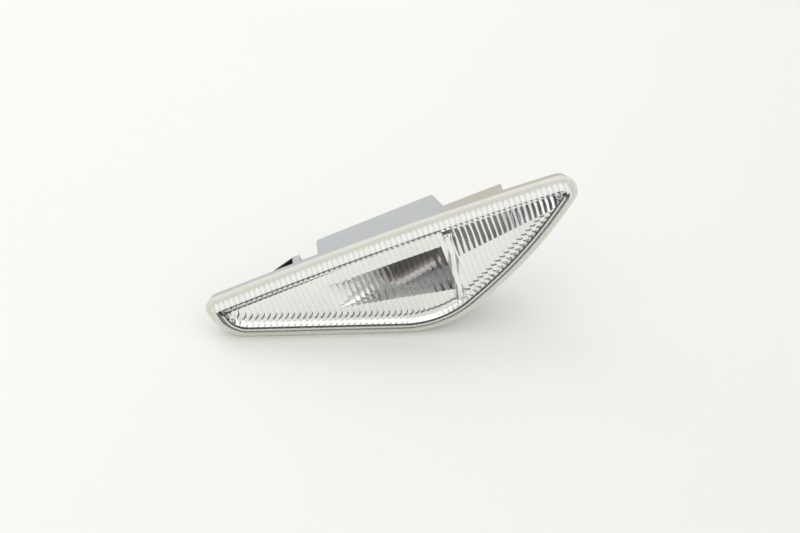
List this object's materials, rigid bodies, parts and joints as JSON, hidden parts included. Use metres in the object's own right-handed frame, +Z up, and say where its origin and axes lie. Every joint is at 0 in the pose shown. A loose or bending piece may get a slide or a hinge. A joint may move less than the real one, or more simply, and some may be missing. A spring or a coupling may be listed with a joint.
{
  "type": "vehicle side indicator lamp",
  "caption": "Three-cornered side indicator lamp with a clear fluted lens, chromed reflector, grey snap-in housing, and a bulb in a twist-lock holder with a plug socket.",
  "frame": {"origin": "middle of the plane that the panel lies against, the rear face of the housing's tray, inside the bulb box's outline", "axes": "+X along the straight lower edge towards the raised tip, +Y back into the panel, +Z up as the lamp stands on its lower edge; the lens faces -Y"},
  "size_m": [0.1308, 0.0302, 0.0661],
  "materials": {
    "lens": "clear, polished",
    "housing": "fine matt",
    "reflector": "metallised, mirror bright",
    "spring_clip": "dark brown spring steel",
    "holder": "matt black",
    "seal": "matt",
    "contact": "bright",
    "bulb": "dark mirror-coated amber glass",
    "lead": "bright wire"
  },
  "bodies": {
    "lamp": {"lens": "lens", "housing": "housing", "reflector": "reflector", "spring_clip": "spring_clip"},
    "holder": {"bulb_holder": "holder", "holder_seal": "seal", "contact_upper": "contact", "contact_lower": "contact", "bulb": "bulb", "bulb_leads": "lead"}
  },
  "joints": [
    {"name": "holder_twist", "type": "hinge", "parent": "lamp", "child": "holder", "pos_m": [0.02074, 0.0106, 0.00967], "axis": [0.8818, 0.309, 0.3563], "range_deg": [0, 45]}
  ]
}
